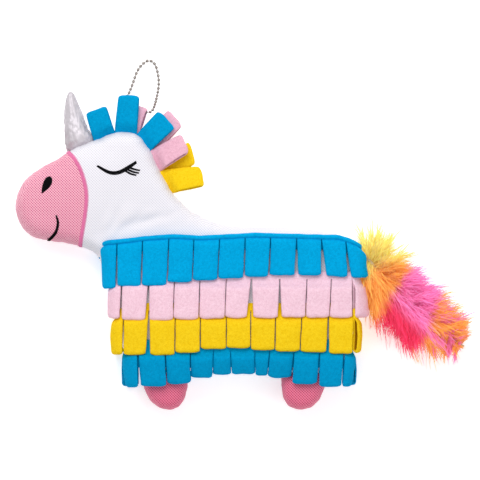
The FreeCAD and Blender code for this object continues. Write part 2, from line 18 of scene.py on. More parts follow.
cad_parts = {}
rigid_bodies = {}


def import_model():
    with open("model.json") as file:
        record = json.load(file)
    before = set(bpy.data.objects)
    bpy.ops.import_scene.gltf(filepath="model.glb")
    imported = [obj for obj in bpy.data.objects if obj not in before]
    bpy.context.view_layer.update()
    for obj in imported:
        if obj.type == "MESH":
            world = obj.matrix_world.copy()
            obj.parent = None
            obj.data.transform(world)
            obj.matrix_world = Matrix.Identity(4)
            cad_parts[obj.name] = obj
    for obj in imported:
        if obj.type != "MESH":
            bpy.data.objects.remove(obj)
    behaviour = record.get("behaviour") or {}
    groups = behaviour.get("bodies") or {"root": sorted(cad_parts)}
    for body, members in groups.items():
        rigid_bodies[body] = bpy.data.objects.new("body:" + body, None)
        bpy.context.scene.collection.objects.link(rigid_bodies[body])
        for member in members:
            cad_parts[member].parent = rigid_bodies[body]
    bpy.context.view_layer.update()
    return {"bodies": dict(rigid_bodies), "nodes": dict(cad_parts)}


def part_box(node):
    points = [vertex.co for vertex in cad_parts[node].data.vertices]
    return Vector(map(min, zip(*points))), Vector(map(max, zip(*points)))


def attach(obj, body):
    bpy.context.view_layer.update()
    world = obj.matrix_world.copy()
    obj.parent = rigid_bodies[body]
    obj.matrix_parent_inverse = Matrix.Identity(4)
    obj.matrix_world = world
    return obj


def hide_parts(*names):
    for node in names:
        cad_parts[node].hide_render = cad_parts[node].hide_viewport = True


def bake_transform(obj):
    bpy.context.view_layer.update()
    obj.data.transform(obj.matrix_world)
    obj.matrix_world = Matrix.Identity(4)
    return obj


MM = 0.001

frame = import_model()
nodes = frame["nodes"]
scene = bpy.context.scene


def node_box(name):
    """A CAD node's lowest and highest corners, in millimetres."""
    low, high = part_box(name)
    return low / MM, high / MM


def link(made):
    scene.collection.objects.link(made)


def clamp(value):
    return max(0.0, min(1.0, value))


def unevenness(x, y, z):
    """Smooth noise between about -1 and 1, the same in each run."""
    return noise.noise(Vector((x, y, z)))


def flat(place):
    """A place in plan as a vector."""
    return Vector((place[0], place[1], 0))


# ---- Stage: camera, floor and light ----

VIEW_WIDTH = 372.0          # what the camera takes in, at the height of the toy's mid-plane
VIEW_CENTRE = (-1.9, -3.9)
MID = node_box("front_face_panel")[0].z
FACE_TOP = node_box("front_row_1_header")[0].z
LOOPS_TOP = node_box("front_row_1_loops")[1].z


def make_camera():
    data = bpy.data.cameras.new("camera")
    data.lens = 300
    data.clip_start = 0.01
    data.clip_end = 50
    camera = bpy.data.objects.new("camera", data)
    distance = VIEW_WIDTH * data.lens / data.sensor_width
    camera.location = Vector((VIEW_CENTRE[0], VIEW_CENTRE[1], MID + distance)) * MM
    link(camera)
    scene.camera = camera


def area_light(name, place, size, energy):
    """A soft light that faces the toy."""
    data = bpy.data.lights.new(name, "AREA")
    data.size = size
    data.energy = energy
    light = bpy.data.objects.new(name, data)
    light.location = place
    light.rotation_euler = (-Vector(place)).to_track_quat("-Z", "Y").to_euler()
    link(light)


def make_stage():
    bpy.ops.mesh.primitive_plane_add(size=6, location=(0, 0, -0.0003))
    floor = bpy.context.object
    floor.name = "floor"
    paint = Paint("white_floor")
    paint.set(Base_Color=(0.93, 0.93, 0.93, 1), Roughness=0.9)
    paint.set(Emission_Color=(1, 1, 1, 1), Emission_Strength=0.45)
    floor.data.materials.append(paint.material)
    world = bpy.data.worlds.new("studio")
    world.use_nodes = True
    sky = world.node_tree.nodes["Background"].inputs
    sky["Color"].default_value = (1, 1, 1, 1)
    sky["Strength"].default_value = 0.5
    scene.world = world
    area_light("key", (-0.25, 0.75, 1.1), 0.8, 11)
    area_light("fill", (0.6, -0.3, 1.2), 1.2, 4)
    scene.view_settings.view_transform = "Standard"
    scene.view_settings.look = "None"


# ---- Materials ----

class Paint:
    """A small helper that adds and links shader nodes."""

    def __init__(self, name):
        self.material = bpy.data.materials.new(name)
        self.material.use_nodes = True
        self.tree = self.material.node_tree
        self.shader = self.tree.nodes["Principled BSDF"]
        self.place = self.add("ShaderNodeTexCoord").outputs["Object"]

    def add(self, kind, inputs=(), **settings):
        made = self.tree.nodes.new(kind)
        for key, value in settings.items():
            setattr(made, key, value)
        for key, value in dict(inputs).items():
            self.feed(made.inputs[key], value)
        return made

    def feed(self, socket, value):
        if isinstance(value, bpy.types.NodeSocket):
            self.tree.links.new(value, socket)
        else:
            socket.default_value = value

    def set(self, **values):
        for key, value in values.items():
            self.feed(self.shader.inputs[key.replace("_", " ")], value)

    def maths(self, operation, a, b=0.0):
        made = self.add("ShaderNodeMath", operation=operation)
        self.feed(made.inputs[0], a)
        self.feed(made.inputs[1], b)
        return made.outputs[0]

    def noise(self, scale, detail=3.0, rough=0.6, place=None):
        return self.add("ShaderNodeTexNoise", {"Vector": place or self.place, "Scale": scale,
                                               "Detail": detail, "Roughness": rough}).outputs["Fac"]

    def ramp(self, value, stops):
        made = self.add("ShaderNodeValToRGB", {"Fac": value})
        elements = made.color_ramp.elements
        while len(elements) < len(stops):
            elements.new(0.5)
        for element, (where, colour) in zip(elements, stops):
            element.position = where
            element.color = (*colour, 1)
        return made.outputs["Color"]

    def mix(self, share, a, b, how="MIX"):
        made = self.add("ShaderNodeMix", data_type="RGBA", blend_type=how)
        self.feed(made.inputs["Factor"], share)
        for socket, value in ((made.inputs[6], a), (made.inputs[7], b)):
            self.feed(socket, value if isinstance(value, bpy.types.NodeSocket) else (*value, 1))
        return made.outputs[2]

    def bump(self, height, strength, distance, under=None):
        made = self.add("ShaderNodeBump", {"Height": height, "Strength": strength, "Distance": distance})
        if under is not None:
            self.feed(made.inputs["Normal"], under)
        return made.outputs["Normal"]


def shade(colour, amount):
    return tuple(min(1.0, c * amount) for c in colour)


def fleece(name, colour, nap):
    """Brushed anti-pill fleece: a mottled nap with short matted fibres."""
    paint = Paint(name)
    fibres = paint.noise(1400, 4, 0.75)
    tufts = paint.noise(480, 3, 0.6)
    wide = paint.noise(45, 2, 0.5)
    base = paint.ramp(fibres, [(0.33, shade(colour, 0.72)), (0.5, colour), (0.68, nap)])
    worn = paint.ramp(tufts, [(0.36, shade(colour, 0.8)), (0.62, nap)])
    base = paint.mix(0.3, base, worn)
    base = paint.mix(paint.maths("MULTIPLY", wide, 0.3), base, shade(colour, 0.9))
    brushed = paint.bump(fibres, 0.6, 0.0006, paint.bump(tufts, 0.35, 0.0008))
    paint.set(Base_Color=base, Roughness=0.95, Normal=brushed)
    paint.set(Sheen_Weight=0.15, Sheen_Roughness=0.5, Sheen_Tint=(*nap, 1), Specular_IOR_Level=0.04)
    return paint.material


def oxford_mesh(name, yarn, shaded_hole, contrast):
    """Oxford mesh cloth: a diagonal grid of raised threads round small sunk dots, the dots painted darker,
    partly the weave's own pattern and partly painted shade in the holes.
    """
    paint = Paint(name)
    x, y, z = paint.add("ShaderNodeSeparateXYZ", {"Vector": paint.place}).outputs
    facing = paint.add("ShaderNodeSeparateXYZ", {"Vector": paint.place.node.outputs["Normal"]}).outputs
    turn = pi / (WEAVE_PERIOD * MM)
    lines = 0.0
    total = 0.0001
    # The weave runs square to each side of the cloth, and fades from one to the next round a bend.
    for faces_us, a, b in ((facing[2], x, y), (facing[1], x, z), (facing[0], y, z)):
        weight = paint.maths("POWER", paint.maths("ABSOLUTE", faces_us), 6.0)
        rising = paint.maths("MULTIPLY", paint.maths("ADD", a, b), turn)
        falling = paint.maths("MULTIPLY", paint.maths("SUBTRACT", a, b), turn)
        one = paint.maths("ABSOLUTE", paint.maths("SINE", rising))
        other = paint.maths("ABSOLUTE", paint.maths("SINE", falling))
        cells = paint.maths("MULTIPLY", one, paint.maths("ADD", paint.maths("MULTIPLY", other, 0.6), 0.4))
        lines = paint.maths("ADD", lines, paint.maths("MULTIPLY", cells, weight))
        total = paint.maths("ADD", total, weight)
    lines = paint.maths("DIVIDE", lines, total)
    fine = paint.noise(2600, 3, 0.6)
    wide = paint.noise(40, 2, 0.5)
    # The sunk dots take the darker colour: the cloth's dot pattern with painted shade in the holes.
    base = paint.ramp(lines, [(0.1, yarn), (0.4, shade(yarn, 0.98)), (0.85, shaded_hole)])
    base = paint.mix(contrast, shade(yarn, 0.93), base)
    base = paint.mix(paint.maths("MULTIPLY", wide, 0.25), base, shade(shaded_hole, 1.02))
    woven = paint.bump(lines, -0.6, 0.00033)
    paint.set(Base_Color=base, Roughness=0.6, Normal=paint.bump(fine, 0.3, 0.0001, woven))
    paint.set(Sheen_Weight=0.35, Sheen_Roughness=0.35, Specular_IOR_Level=0.3)
    return paint.material


def thread(name, colour, shine=0.45):
    """Rayon embroidery thread."""
    paint = Paint(name)
    strands = paint.noise(3500, 2, 0.5)
    base = paint.ramp(strands, [(0.3, shade(colour, 0.75)), (0.7, shade(colour, 1.12))])
    paint.set(Base_Color=base, Roughness=0.6 - 0.2 * shine, Normal=paint.bump(strands, 0.3, 0.0001))
    paint.set(Sheen_Weight=0.2 * shine, Specular_IOR_Level=0.4 * shine)
    return paint.material


def lame(name, colour):
    """Crinkled silver lame: a fine foil cloth with soft creases running up the horn."""
    paint = Paint(name)
    along = paint.add("ShaderNodeMapping", {"Vector": paint.place}).outputs["Vector"]
    along.node.inputs["Scale"].default_value = (1.0, 0.28, 1.0)
    folds = paint.noise(330, 4, 0.6, along)
    grain = paint.noise(1500, 2, 0.5)
    wide = paint.noise(90, 3, 0.6, along)
    creases = paint.bump(grain, 0.35, 0.0002, paint.bump(folds, 0.8, 0.0016))
    base = paint.ramp(wide, [(0.3, shade(colour, 0.82)), (0.55, colour), (0.75, shade(colour, 1.15))])
    paint.set(Base_Color=base, Metallic=0.35, Roughness=0.45, Normal=creases)
    paint.set(Sheen_Weight=0.2, Sheen_Roughness=0.3)
    return paint.material


def metal(name, colour):
    """Nickel-plated steel with fine handling marks."""
    paint = Paint(name)
    marks = paint.noise(1800, 3, 0.6)
    base = paint.ramp(marks, [(0.35, shade(colour, 0.8)), (0.65, colour)])
    rough = paint.ramp(marks, [(0.3, (0.18, 0.18, 0.18)), (0.7, (0.34, 0.34, 0.34))])
    paint.set(Base_Color=base, Metallic=1.0, Roughness=rough, Normal=paint.bump(marks, 0.08, 0.0001))
    return paint.material


def twine_fibre(name, colour):
    paint = Paint(name)
    twist = paint.noise(1200, 3, 0.6)
    base = paint.ramp(twist, [(0.3, shade(colour, 0.7)), (0.7, colour)])
    paint.set(Base_Color=base, Roughness=0.9, Normal=paint.bump(twist, 0.6, 0.0004))
    return paint.material


def feather_dye(name):
    """Dyed marabou: the barb's colour comes from the mesh, its dye with painted shade near the boa's core,
    and a faint painted glow of that colour stands in for the light that passes through it.
    """
    paint = Paint(name)
    dye_and_shade = paint.add("ShaderNodeAttribute", attribute_name="dye_and_shade").outputs["Color"]
    streak = paint.noise(900, 2, 0.5)
    base = paint.mix(paint.maths("MULTIPLY", streak, 0.3), dye_and_shade, (1.0, 0.9, 0.82), "SOFT_LIGHT")
    paint.set(Base_Color=base, Roughness=0.75)
    paint.set(Sheen_Weight=0.4, Sheen_Roughness=0.5, Specular_IOR_Level=0.2)
    # Painted glow: the feathers give off a little light of their own colour, in place of light shining
    # through them.
    paint.set(Emission_Color=base, Emission_Strength=0.1)
    return paint.material


WEAVE_PERIOD = 2.1          # from one dot of the mesh cloth to the next, along the diagonal
BLUE = (0.0, 0.36, 0.72)
BLUE_NAP = (0.001, 0.50, 0.90)
PINK = (0.95, 0.60, 0.72)
PINK_NAP = (1.0, 0.76, 0.86)
YELLOW = (0.95, 0.60, 0.006)
YELLOW_NAP = (1.0, 0.76, 0.03)
looks = {
    "blue_fleece": (fleece, BLUE, BLUE_NAP),
    # Painted shade: the blue fleece darkened as a whole, a shaded copy of the same cloth for row 4 and the
    # blue mane loops.
    "dark_blue_fleece": (fleece, shade(BLUE, 0.84), shade(BLUE_NAP, 0.84)),
    "pink_fleece": (fleece, PINK, PINK_NAP),
    "rose_fleece": (fleece, (0.83, 0.44, 0.56), (0.90, 0.57, 0.68)),
    "yellow_fleece": (fleece, YELLOW, YELLOW_NAP),
    # Each mesh cloth's second colour is its sunk dots, partly painted shade.
    "white_mesh": (oxford_mesh, (0.90, 0.88, 0.92), (0.58, 0.56, 0.64), 0.75),
    "pink_mesh": (oxford_mesh, (0.98, 0.52, 0.63), (0.50, 0.05, 0.15), 1.0),
    "rose_mesh": (oxford_mesh, (0.92, 0.225, 0.355), (0.46, 0.035, 0.10), 0.95),
    "edging_thread": (thread, (0.84, 0.20, 0.42)),
    "black_thread": (thread, (0.004, 0.004, 0.005), 0.1),
    "white_thread": (thread, (0.85, 0.85, 0.88)),
    "silver_lame": (lame, (0.60, 0.56, 0.60)),
    "nickel": (metal, (0.36, 0.32, 0.29)),
    "twine": (twine_fibre, (0.80, 0.66, 0.42)),
    "feather": (feather_dye,),
}
materials = {name: make(name, *values) for name, (make, *values) in looks.items()}


# ---- Mesh helpers ----

def dress(mesh, material):
    mesh.materials.clear()
    mesh.materials.append(materials[material])


def shade_smooth(mesh):
    mesh.polygons.foreach_set("use_smooth", [True] * len(mesh.polygons))


def mesh_piece(name, points, faces, material):
    """A new object from points in millimetres."""
    mesh = bpy.data.meshes.new(name)
    mesh.from_pydata([tuple(Vector(p) * MM) for p in points], [], faces)
    mesh.update()
    piece = bpy.data.objects.new(name, mesh)
    link(piece)
    piece.data.materials.append(materials[material])
    shade_smooth(mesh)
    return piece


def bake_modifiers(piece):
    """Replace a piece's mesh with what its modifiers make of it."""
    graph = bpy.context.evaluated_depsgraph_get()
    mesh = bpy.data.meshes.new_from_object(piece.evaluated_get(graph), depsgraph=graph)
    piece.modifiers.clear()
    piece.data = mesh
    shade_smooth(mesh)
    return piece


def settle(piece, body, slot, *replaced):
    """Let a piece ride a body in place of the CAD nodes it stands for."""
    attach(piece, body)
    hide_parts(*replaced)


def read_points(piece):
    co = np.empty(len(piece.data.vertices) * 3)
    piece.data.vertices.foreach_get("co", co)
    return co.reshape(-1, 3)


def write_points(piece, co):
    piece.data.vertices.foreach_set("co", np.asarray(co, dtype=float).ravel())
    piece.data.update()


def smooth_line(points, count):
    """Points spread evenly along a smooth curve through the given ones."""
    points = [Vector(p) for p in points]
    ends = [points[0] * 2 - points[1]] + points + [points[-1] * 2 - points[-2]]
    fine = []
    for a, b, c, d in zip(ends, ends[1:], ends[2:], ends[3:]):
        for step in range(16):
            t = step / 16
            fine.append(0.5 * ((2 * b) + (c - a) * t + (2 * a - 5 * b + 4 * c - d) * t * t
                               + (3 * b - a - 3 * c + d) * t * t * t))
    fine.append(points[-1])
    lengths = np.cumsum([0] + [(q - p).length for p, q in zip(fine, fine[1:])])
    wanted = np.linspace(0, lengths[-1], count)
    spread = [np.interp(wanted, lengths, [p[axis] for p in fine]) for axis in range(len(points[0]))]
    return [Vector(p) for p in zip(*spread)]


# ---- Stuffed cloth: the CAD shape, remeshed and blown up as cloth ----

def stuffed(name, sources, voxel, cap, material):
    """A closed pillow from CAD nodes: remeshed, then inflated with its side seam held."""
    gathered = bmesh.new()
    for source in sources:
        gathered.from_mesh(nodes[source].data)
    mesh = bpy.data.meshes.new(name)
    gathered.to_mesh(mesh)
    gathered.free()
    piece = bpy.data.objects.new(name, mesh)
    link(piece)
    remesh = piece.modifiers.new("remesh", "REMESH")
    remesh.mode = "VOXEL"
    remesh.voxel_size = voxel * MM
    smooth = piece.modifiers.new("smooth", "SMOOTH")
    smooth.factor = 0.5
    smooth.iterations = 8
    bake_modifiers(piece)
    rest = read_points(piece)
    inflate(piece)
    moved = read_points(piece) - rest
    reach = np.linalg.norm(moved, axis=1)
    limit = np.array([cap(*(p / MM)) for p in rest]) * MM
    share = np.minimum(1, limit / np.maximum(reach, 1e-9))
    write_points(piece, rest + moved * share[:, None])
    finer = piece.modifiers.new("finer", "SUBSURF")
    finer.levels = 1
    finer.render_levels = 1
    bake_modifiers(piece)
    dress(piece.data, material)
    return piece


def inflate(piece):
    """Blow a piece up as cloth, with the stitches along its mid-plane seam pinned."""
    pinned = piece.vertex_groups.new(name="seam")
    seam = [v.index for v in piece.data.vertices if abs(v.co.z / MM - MID) < 1.6]
    pinned.add(seam, 1.0, "REPLACE")
    cloth = piece.modifiers.new("cloth", "CLOTH")
    settings = cloth.settings
    settings.quality = 5
    settings.mass = 0.2
    settings.tension_stiffness = 25
    settings.compression_stiffness = 25
    settings.shear_stiffness = 10
    settings.bending_stiffness = 0.3
    settings.use_pressure = True
    settings.uniform_pressure_force = 4.0
    settings.vertex_group_mass = "seam"
    settings.effector_weights.gravity = 0
    cloth.collision_settings.use_collision = False
    cloth.collision_settings.use_self_collision = False
    cloth.point_cache.frame_start = 1
    cloth.point_cache.frame_end = 20
    for step in range(1, 21):
        scene.frame_set(step)
    bake_modifiers(piece)
    scene.frame_set(1)


# The line where muzzle cloth meets white cloth, from crest to throat.
MUZZLE_SEAM = [
    (-142, 71), (-136, 64.7), (-129.8, 58.6), (-124.5, 48.7), (-121, 36), (-120.5, 26),
    (-121.8, 14), (-124.2, 0), (-126, -9.5), (-127.5, -18),
]
seam_line = smooth_line(map(flat, MUZZLE_SEAM), 120)
SEAM_Y = [p.y for p in reversed(seam_line)]
SEAM_X = [p.x for p in reversed(seam_line)]


def beside_seam(x, y):
    """How far a point is from the muzzle seam, with the muzzle side negative."""
    return x - np.interp(y, SEAM_Y, SEAM_X)


def body_cap(x, y, z):
    """How far cloth may swell, in millimetres: freely at the head, hardly under the fringe."""
    under_fringe = np.clip((y - 4) / 22, 0, 1)
    return 0.4 + 5.2 * under_fringe


def pucker(piece, depth, reach, seed):
    """Draw the side seam in and gather the cloth beside it into small folds."""
    co = read_points(piece) / MM
    seam = [Vector(p) for p in co if abs(p[2] - MID) < 1.2]
    tree = KDTree(len(seam))
    for i, point in enumerate(seam):
        tree.insert(point, i)
    tree.balance()
    normals = np.array([v.normal for v in piece.data.vertices])
    for i, point in enumerate(co):
        nearest, _, away = tree.find(Vector(point))
        if away > reach * 3:
            continue
        fold = unevenness(nearest.x * 0.16, nearest.y * 0.16, seed)
        fold += 0.5 * unevenness(nearest.x * 0.42, nearest.y * 0.42, seed + 9)
        groove = -depth * exp(-(away / 1.3) ** 2)
        gather = depth * 0.75 * fold * (away / reach) * exp(1 - away / reach)
        co[i] = point + normals[i] * (groove + gather)
    write_points(piece, co * MM)


# Soft folds where the stuffing is thin: place, direction in degrees, half length, half width, depth.
NECK_FOLDS = (
    (-98, 12, 58, 13, 3.6, 1.5), (-88, 8, 42, 14, 3.2, 1.3), (-76, 10, 28, 15, 3.4, 1.3),
    (-105, 20, 72, 12, 5, 0.9), (-62, 14, 18, 13, 3.2, 0.9), (-116, 66, 30, 8, 5, 0.8),
    (-112, 2, 80, 8, 5, 0.9), (-92, 30, 50, 10, 6, 0.7),
)


def make_body():
    """The white body and head with the pink muzzle, one stuffed form split at the muzzle seam."""
    whole = stuffed("body_cloth", ["front_face_panel", "back_face_panel", "body_filling",
                                   "muzzle_front_panel", "muzzle_back_panel"],
                    2.8, body_cap, "white_mesh")
    pucker(whole, 0.8, 6, 1.5)
    co = read_points(whole) / MM
    # Soft hollows where the stuffing is thin: behind the cheek and along the neck.
    for x, y, angle, long, wide, deep in NECK_FOLDS:
        turn = radians(angle)
        along = (co[:, 0] - x) * cos(turn) + (co[:, 1] - y) * sin(turn)
        across = (co[:, 1] - y) * cos(turn) - (co[:, 0] - x) * sin(turn)
        across += 0.9 * np.sin(along * 0.25 + x)
        side = np.sign(co[:, 2] - MID)
        co[:, 2] -= side * deep * np.exp(-(along / long) ** 2 - (across / wide) ** 2)
    write_points(whole, co * MM)
    polygons = [tuple(f.vertices) for f in whole.data.polygons]
    surface = BVHTree.FromPolygons([Vector(p) for p in co], polygons)

    muzzle = whole.copy()
    muzzle.data = whole.data.copy()
    muzzle.name = "muzzle_cloth"
    link(muzzle)
    dress(muzzle.data, "pink_mesh")
    for piece, keep_nose in ((whole, False), (muzzle, True)):
        work = bmesh.new()
        work.from_mesh(piece.data)
        gone = [f for f in work.faces
                if (beside_seam(*(f.calc_center_median().xy / MM)) < 0) != keep_nose]
        bmesh.ops.delete(work, geom=gone, context="FACES")
        work.to_mesh(piece.data)
        work.free()
    settle(whole, "toy", "white_mesh", "front_face_panel", "back_face_panel", "body_filling")
    settle(muzzle, "toy", "pink_mesh", "muzzle_front_panel", "muzzle_back_panel")
    return surface


def make_foot(name):
    solids = [f"{name}_front_panel", f"{name}_back_panel", f"{name}_filling"]
    foot = stuffed(name, solids, 1.8, lambda x, y, z: 2.2, "rose_mesh")
    # Stuffing spreads a foot a little, most of all towards its squarish toe.
    co = read_points(foot) / MM
    low, high = co.min(axis=0), co.max(axis=0)
    lowness = (high[1] - co[:, 1]) / (high[1] - low[1])
    centre = (low[0] + high[0]) / 2
    co[:, 0] = centre + (co[:, 0] - centre) * (1.03 + 0.16 * lowness ** 3)
    write_points(foot, co * MM)
    pucker(foot, 0.6, 4, 3.5)
    settle(foot, "toy", "rose_mesh", *solids)


# ---- Satin stitching: short raised threads side by side over a shape ----

def stitch(points, faces, middle, along, across, normal, half_length, half_width, height):
    """One thread: a low ridge from edge to edge of the shape, dipping into the cloth at its ends."""
    start = len(points)
    stations = ((-1, 0.4, -0.15), (-0.88, 0.9, 0.6), (0, 1, 1), (0.88, 0.9, 0.6), (1, 0.4, -0.15))
    for reach, wide, tall in stations:
        centre = middle + across * (half_length * reach)
        points.append(centre - along * (half_width * wide) - normal * 0.1)
        points.append(centre - along * (half_width * wide * 0.6) + normal * (height * tall * 0.8))
        points.append(centre + along * (half_width * wide * 0.6) + normal * (height * tall * 0.8))
        points.append(centre + along * (half_width * wide) - normal * 0.1)
    for i in range(len(stations) - 1):
        a = start + i * 4
        b = a + 4
        for j in range(3):
            faces.append((a + j, a + j + 1, b + j + 1, b + j))
        faces.append((a + 3, a, b, b + 3))
    faces.append((start + 3, start + 2, start + 1, start))
    last = start + (len(stations) - 1) * 4
    faces.append((last, last + 1, last + 2, last + 3))


def on_cloth(surface, x, y, side):
    """Where a thread at this place meets the front or back of the cloth, and the cloth's normal."""
    origin = Vector((x, y, MID + side * 60))
    place, normal, _, _ = surface.ray_cast(origin, Vector((0, 0, -side)))
    if place is None:
        place, normal, _, _ = surface.find_nearest(Vector((x, y, MID + side * 10)))
    if normal.z * side < 0:
        normal = -normal
    return place, normal


def stitched_stroke(surface, side, route, widths, pitch, points, faces):
    """Satin stitch along a curve, its threads at a slant to it."""
    length = sum((Vector(b) - Vector(a)).length for a, b in zip(route, route[1:]))
    count = max(6, int(length / pitch))
    line = smooth_line(map(flat, route), count)
    share = np.linspace(0, 1, count)
    halves = np.interp(share, np.linspace(0, 1, len(widths)), widths)
    for i, point in enumerate(line):
        ahead = line[min(i + 1, count - 1)] - line[max(i - 1, 0)]
        along = ahead.normalized()
        across = (Vector((-along.y, along.x, 0)) + along * 0.25).normalized()
        place, normal = on_cloth(surface, point.x, point.y, side)
        across -= normal * across.dot(normal)
        stitch(points, faces, place, along, across.normalized(), normal, halves[i], pitch * 0.62, 0.5)


def make_embroidery(surface):
    """The closed eye with its three lashes, the mouth and the nostril, on both faces."""
    eye = [(-111.8, 53.2), (-104.6, 49), (-99.6, 47.7), (-94, 48.6), (-87, 52.6), (-81.9, 56.1)]
    lashes = [[(-87.6, 52), (-83, 50.5), (-79.2, 49.7)], [(-89.2, 50.8), (-84.5, 48.7), (-80, 47.7)],
              [(-91, 49.8), (-86.3, 47.2), (-82, 46)]]
    mouth = [(-143.5, 15), (-142.2, 9.3), (-143.5, 3.1), (-146, -0.6), (-150.3, -4.6)]
    nostril = [(-154.6, 32.3), (-152.4, 36.6), (-149.8, 40.8), (-147.5, 44.3)]
    # Each shape's strokes: the route, the half width along it and the space from thread to thread.
    shapes = {
        "eye": [(eye, (0.9, 1.35, 1.6, 1.7, 1.6, 1.2), 0.42),
                *((lash, (0.9, 0.85, 0.7), 0.42) for lash in lashes)],
        "mouth": [(mouth, (0.7, 1.0, 1.15, 1.2, 1.35, 1.5, 1.3), 0.42)],
        "nostril": [(nostril, (0.4, 1.3, 2.1, 2.8, 3.3, 3.6, 3.5, 2.9, 1.4), 0.34)],
    }
    for side, word in ((1, "front"), (-1, "back")):
        for shape, strokes in shapes.items():
            points, faces = [], []
            for route, widths, pitch in strokes:
                stitched_stroke(surface, side, route, widths, pitch, points, faces)
            node = "closed_eye" if shape == "eye" else shape
            finish_stitching(f"{shape}_stitches_{word}", points, faces, f"{node}_{word}", "black_thread")


def finish_stitching(name, points, faces, replaced, material):
    piece = mesh_piece(name, points, faces, material)
    settle(piece, "toy", material, replaced)


def seam_loop(surface):
    """The closed line round the muzzle where the cloth crosses the muzzle seam, in order."""
    front, back = [], []
    for y in np.linspace(70, -16, 300):
        x = float(np.interp(y, SEAM_Y, SEAM_X))
        for side, found in ((1, front), (-1, back)):
            place = surface.ray_cast(Vector((x, y, MID + side * 60)), Vector((0, 0, -side)))[0]
            if place is not None and (place.z - MID) * side > 0:
                found.append(place)
    loop = front + list(reversed(back))
    loop.append(front[0])
    return smooth_line(loop[::4] + [loop[-1]], 420)


def make_edging(surface):
    """A dense band of stitches over the muzzle seam, every second one longer, right round the muzzle."""
    loop = seam_loop(surface)
    runs = {"front": ([], []), "back": ([], [])}
    count = len(loop)
    for i, point in enumerate(loop[:-1]):
        ahead = loop[(i + 1) % (count - 1)] - loop[i - 1 if i else count - 2]
        along = ahead.normalized()
        place, normal, _, _ = surface.find_nearest(point)
        across = normal.cross(along).normalized()
        tooth = 0.55 if i % 2 else 0.0
        middle = place + across * (tooth * 0.6)
        points, faces = runs["front" if place.z > MID else "back"]
        stitch(points, faces, middle, along, (across + along * 0.2).normalized(), normal,
               1.15 + tooth, 0.36, 0.65)
    for word, (points, faces) in runs.items():
        finish_stitching("muzzle_zigzag_" + word, points, faces, "muzzle_edging_" + word, "edging_thread")


# ---- Fleece loops ----

PLY = 1.3           # fleece thickness
FULL_LOOP = 17.6    # a loop's width laid flat
GAP = 0.35          # the least space between neighbouring loops

# Each row as it is cut and sewn by hand. slits: how far along each slit starts, where it ends at the
# hem, and how wide it has opened there. hems: the fold of each loop. ends: the plan edges of the row
# at the top and at the hem. turn: how steeply the first and last loops leave the face, in degrees.
# uncut: how far the cloth runs down uncut behind the loops. droop: how far the hems sink past the belly,
# where a shorter-looking loop has curled further down.
ROWS = {
    1: {"cloth": "blue_fleece", "top": 1.0, "root": -2.6, "tuck": 0, "uncut": 25,
        "slits": ((-96.5, -96.9, 1), (-76.9, -77.8, 1), (-56.6, -58.1, 1), (-37.4, -38.6, 0),
                  (-17.6, -19.2, 0), (2.1, 1.2, 1), (21.7, 20.3, 1), (41.7, 41.5, 2.6), (60.8, 62.6, 4),
                  (79.4, 82.2, 2.4)),
        "hems": (-41.4, -39.5, -39.1, -36.7, -34.8, -33.5, -31.9, -31.1, -31.1, -32, -32.9),
        "ends": ((-109.5, -108.5), (95.4, 97.6)), "turn": (2, 2)},
    2: {"cloth": "pink_fleece", "top": -28, "root": -32, "tuck": 5, "uncut": 6,
        "slits": ((-92.8, -93.6, 1.4), (-72, -73.4, 3.4), (-52.3, -53.3, 0), (-32.7, -33.7, 0),
                  (-12.4, -13.6, 0), (7, 5.8, 5.2), (28.7, 28.7, 2.6), (49.8, 48.6, 0.4), (68.6, 67, 0.4),
                  (84.6, 84.8, 0.4)),
        "hems": (-64, -65.8, -65.8, -64.9, -64.4, -63.8, -64, -63.7, -63.6, -63.7, -63.4),
        "ends": ((-101.6, -103.7), (95, 98.4)), "turn": (2, 38)},
    3: {"cloth": "yellow_fleece", "top": -52.3, "root": -56.5, "tuck": 7, "uncut": 6,
        "slits": ((-91.5, -91.9, 0.8), (-71.9, -72.9, 3.2), (-51.7, -52.1, 0.6), (-32.4, -32.5, 0.6),
                  (-12.4, -12.4, 0.3), (6.4, 6.2, 0.6), (25.6, 24.9, 0.6), (46, 44.4, 0.5),
                  (66.3, 65.5, 2.2), (85.6, 85, 0.4)),
        "hems": (-92.1, -92.4, -92.4, -90.7, -87.6, -87.2, -88.7, -89.7, -90.3, -91.4, -90.7),
        "ends": ((-99.6, -100.9), (90.9, 91.3)), "turn": (4, 70)},
    # Row 4 wears the painted-shade copy of the blue fleece.
    4: {"cloth": "dark_blue_fleece", "top": -80.4, "root": -83.5, "tuck": 7, "uncut": 22, "droop": 5,
        "slits": ((-80.8, -79.6, 2.2), (-59.9, -58.3, 0.6), (-40.3, -39.9, 0), (-22.1, -23.1, 0.3),
                  (-9.5, -8.5, 0), (9.5, 10, 0), (21.3, 19.4, 0.3), (40.1, 38.2, 0.4), (59.7, 58.3, 1.2),
                  (78.7, 76.8, 1.2)),
        "hems": (-117.6, -116.8, -114.6, -110.2, -107.8, -107.3, -107.9, -110, -114.9, -117, -117),
        "ends": ((-94.2, -95.2), (87.4, 88.9)), "turn": (4, 4)},
}
# The upper edge of row 1's header, sewn a little unevenly across the neck.
HEADER_LINE = (
    (-112, -8), (-104, -5.4), (-87.6, -3.8), (-76, -2.2), (-52.5, -0.6), (-33, -1.8), (-20, -1.2),
    (8.7, 0.4),
    (25, 0), (61, -1), (73.5, -1.2), (82, -3.6), (90, -7.6), (97, -14),
)


def header_line(x):
    return float(np.interp(x, [p[0] for p in HEADER_LINE], [p[1] for p in HEADER_LINE]))


def row_tops(number, x):
    """Where a row's cloth starts and where its loops leave the header, at a place along it."""
    row = ROWS[number]
    if number == 1:
        return header_line(x), header_line(x) - 2.4
    sway = 0.5 * unevenness(x * 0.04, number, 2.0)
    return row["top"] + sway, row["root"] + sway


